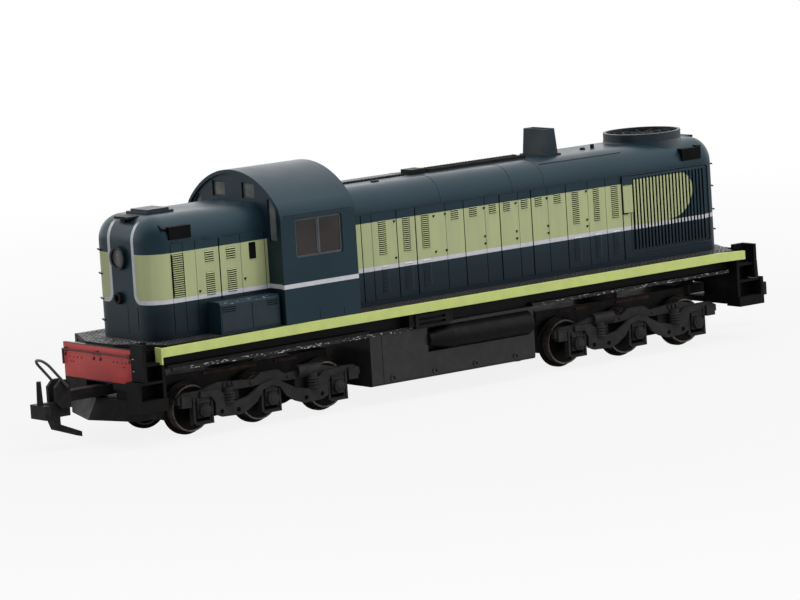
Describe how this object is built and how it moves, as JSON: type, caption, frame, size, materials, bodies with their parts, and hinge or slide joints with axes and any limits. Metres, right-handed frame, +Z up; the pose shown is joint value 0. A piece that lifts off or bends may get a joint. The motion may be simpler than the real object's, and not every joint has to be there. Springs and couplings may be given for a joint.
{
  "type": "model road-switcher diesel locomotive",
  "caption": "HO scale model of a hood-type diesel locomotive with swivelling three-axle trucks, flanged wheelsets and a swinging coupler at each end.",
  "frame": {"origin": "on the surface the flanges stand on, midway between the two trucks and the two sides", "axes": "+X towards the short hood, +Y to the loco's left, +Z up"},
  "size_m": [0.2036, 0.0352, 0.0538],
  "materials": {
    "teal_paint": "satin dark teal paint",
    "lime_paint": "satin lime yellow paint",
    "red_paint": "satin red paint",
    "black_plastic": "matt black moulded plastic",
    "deck_plastic": "matt black with raised diamond tread",
    "board_black": "matt black",
    "lamp_lens": "clear moulded lens",
    "window_glass": "clear glazing",
    "motor_metal": "plain block for the motor and ballast",
    "truck_plastic": "matt dark grey moulded plastic",
    "wheel_metal": "blackened steel with worn treads",
    "coupler_plastic": "matt black moulded plastic",
    "loop_wire": "blackened wire"
  },
  "bodies": {
    "body": {"frame": "black_plastic", "coupler_mount_front": "black_plastic", "coupler_mount_rear": "black_plastic", "deck": "deck_plastic", "sill_left": "lime_paint", "sill_right": "lime_paint", "pilot_plate_front": "red_paint", "pilot_plate_rear": "red_paint", "pilot_casting_front": "black_plastic", "pilot_casting_rear": "black_plastic", "plow_front": "black_plastic", "plow_rear": "black_plastic", "uncoupling_lever_front": "black_plastic", "uncoupling_lever_rear": "black_plastic", "steps_front": "black_plastic", "steps_rear": "black_plastic", "fuel_tank": "black_plastic", "air_reservoirs": "black_plastic", "grille_boxes": "black_plastic", "long_hood": "teal_paint", "short_hood": "teal_paint", "locker_left": "teal_paint", "locker_right": "teal_paint", "radiator_shutter_left": "teal_paint", "radiator_shutter_right": "teal_paint", "fan_shroud": "teal_paint", "radiator_fan": "black_plastic", "exhaust_stack": "teal_paint", "roof_walk": "teal_paint", "roof_box": "teal_paint", "short_hood_hatch": "teal_paint", "headlight_visors": "black_plastic", "number_boards_front": "board_black", "number_boards_rear": "board_black", "headlight_front": "lamp_lens", "headlight_rear": "lamp_lens", "cab_roof": "teal_paint", "cab_walls": "teal_paint", "cab_window_sashes": "black_plastic", "cab_glass": "window_glass", "motor": "motor_metal"},
    "truck_front": {"truck_front_housing": "truck_plastic", "truck_front_side_frame_left": "truck_plastic", "truck_front_side_frame_right": "truck_plastic"},
    "truck_front_wheelset_1": {"truck_front_wheelset_1": "wheel_metal"},
    "truck_front_wheelset_2": {"truck_front_wheelset_2": "wheel_metal"},
    "truck_front_wheelset_3": {"truck_front_wheelset_3": "wheel_metal"},
    "coupler_front": {"coupler_front": "coupler_plastic"},
    "coupler_front_loop": {"coupler_front_loop": "loop_wire"},
    "truck_rear": {"truck_rear_housing": "truck_plastic", "truck_rear_side_frame_left": "truck_plastic", "truck_rear_side_frame_right": "truck_plastic"},
    "truck_rear_wheelset_1": {"truck_rear_wheelset_1": "wheel_metal"},
    "truck_rear_wheelset_2": {"truck_rear_wheelset_2": "wheel_metal"},
    "truck_rear_wheelset_3": {"truck_rear_wheelset_3": "wheel_metal"},
    "coupler_rear": {"coupler_rear": "coupler_plastic"}
  },
  "joints": [
    {"name": "truck_front_swivel", "type": "hinge", "parent": "body", "child": "truck_front", "pos_m": [0.0517, 0, 0.0145], "axis": [0, 0, 1], "range_deg": [-8, 8]},
    {"name": "truck_front_wheelset_1_spin", "type": "hinge", "parent": "truck_front", "child": "truck_front_wheelset_1", "pos_m": [0.06955, 0, 0.0058], "axis": [0, 1, 0], "continuous": true},
    {"name": "truck_front_wheelset_2_spin", "type": "hinge", "parent": "truck_front", "child": "truck_front_wheelset_2", "pos_m": [0.0517, 0, 0.0058], "axis": [0, 1, 0], "continuous": true},
    {"name": "truck_front_wheelset_3_spin", "type": "hinge", "parent": "truck_front", "child": "truck_front_wheelset_3", "pos_m": [0.03385, 0, 0.0058], "axis": [0, 1, 0], "continuous": true},
    {"name": "coupler_front_swing", "type": "hinge", "parent": "body", "child": "coupler_front", "pos_m": [0.078, 0, 0.0113], "axis": [0, 0, 1], "range_deg": [-10, 10]},
    {"name": "coupler_front_loop_lift", "type": "hinge", "parent": "coupler_front", "child": "coupler_front_loop", "pos_m": [0.0954, 0, 0.0136], "axis": [0, -1, 0], "range_deg": [-40, 20]},
    {"name": "truck_rear_swivel", "type": "hinge", "parent": "body", "child": "truck_rear", "pos_m": [-0.0517, 0, 0.0145], "axis": [0, 0, 1], "range_deg": [-8, 8]},
    {"name": "truck_rear_wheelset_1_spin", "type": "hinge", "parent": "truck_rear", "child": "truck_rear_wheelset_1", "pos_m": [-0.06955, 0, 0.0058], "axis": [0, 1, 0], "continuous": true},
    {"name": "truck_rear_wheelset_2_spin", "type": "hinge", "parent": "truck_rear", "child": "truck_rear_wheelset_2", "pos_m": [-0.0517, 0, 0.0058], "axis": [0, 1, 0], "continuous": true},
    {"name": "truck_rear_wheelset_3_spin", "type": "hinge", "parent": "truck_rear", "child": "truck_rear_wheelset_3", "pos_m": [-0.03385, 0, 0.0058], "axis": [0, 1, 0], "continuous": true},
    {"name": "coupler_rear_swing", "type": "hinge", "parent": "body", "child": "coupler_rear", "pos_m": [-0.078, 0, 0.0113], "axis": [0, 0, 1], "range_deg": [-10, 10]}
  ]
}
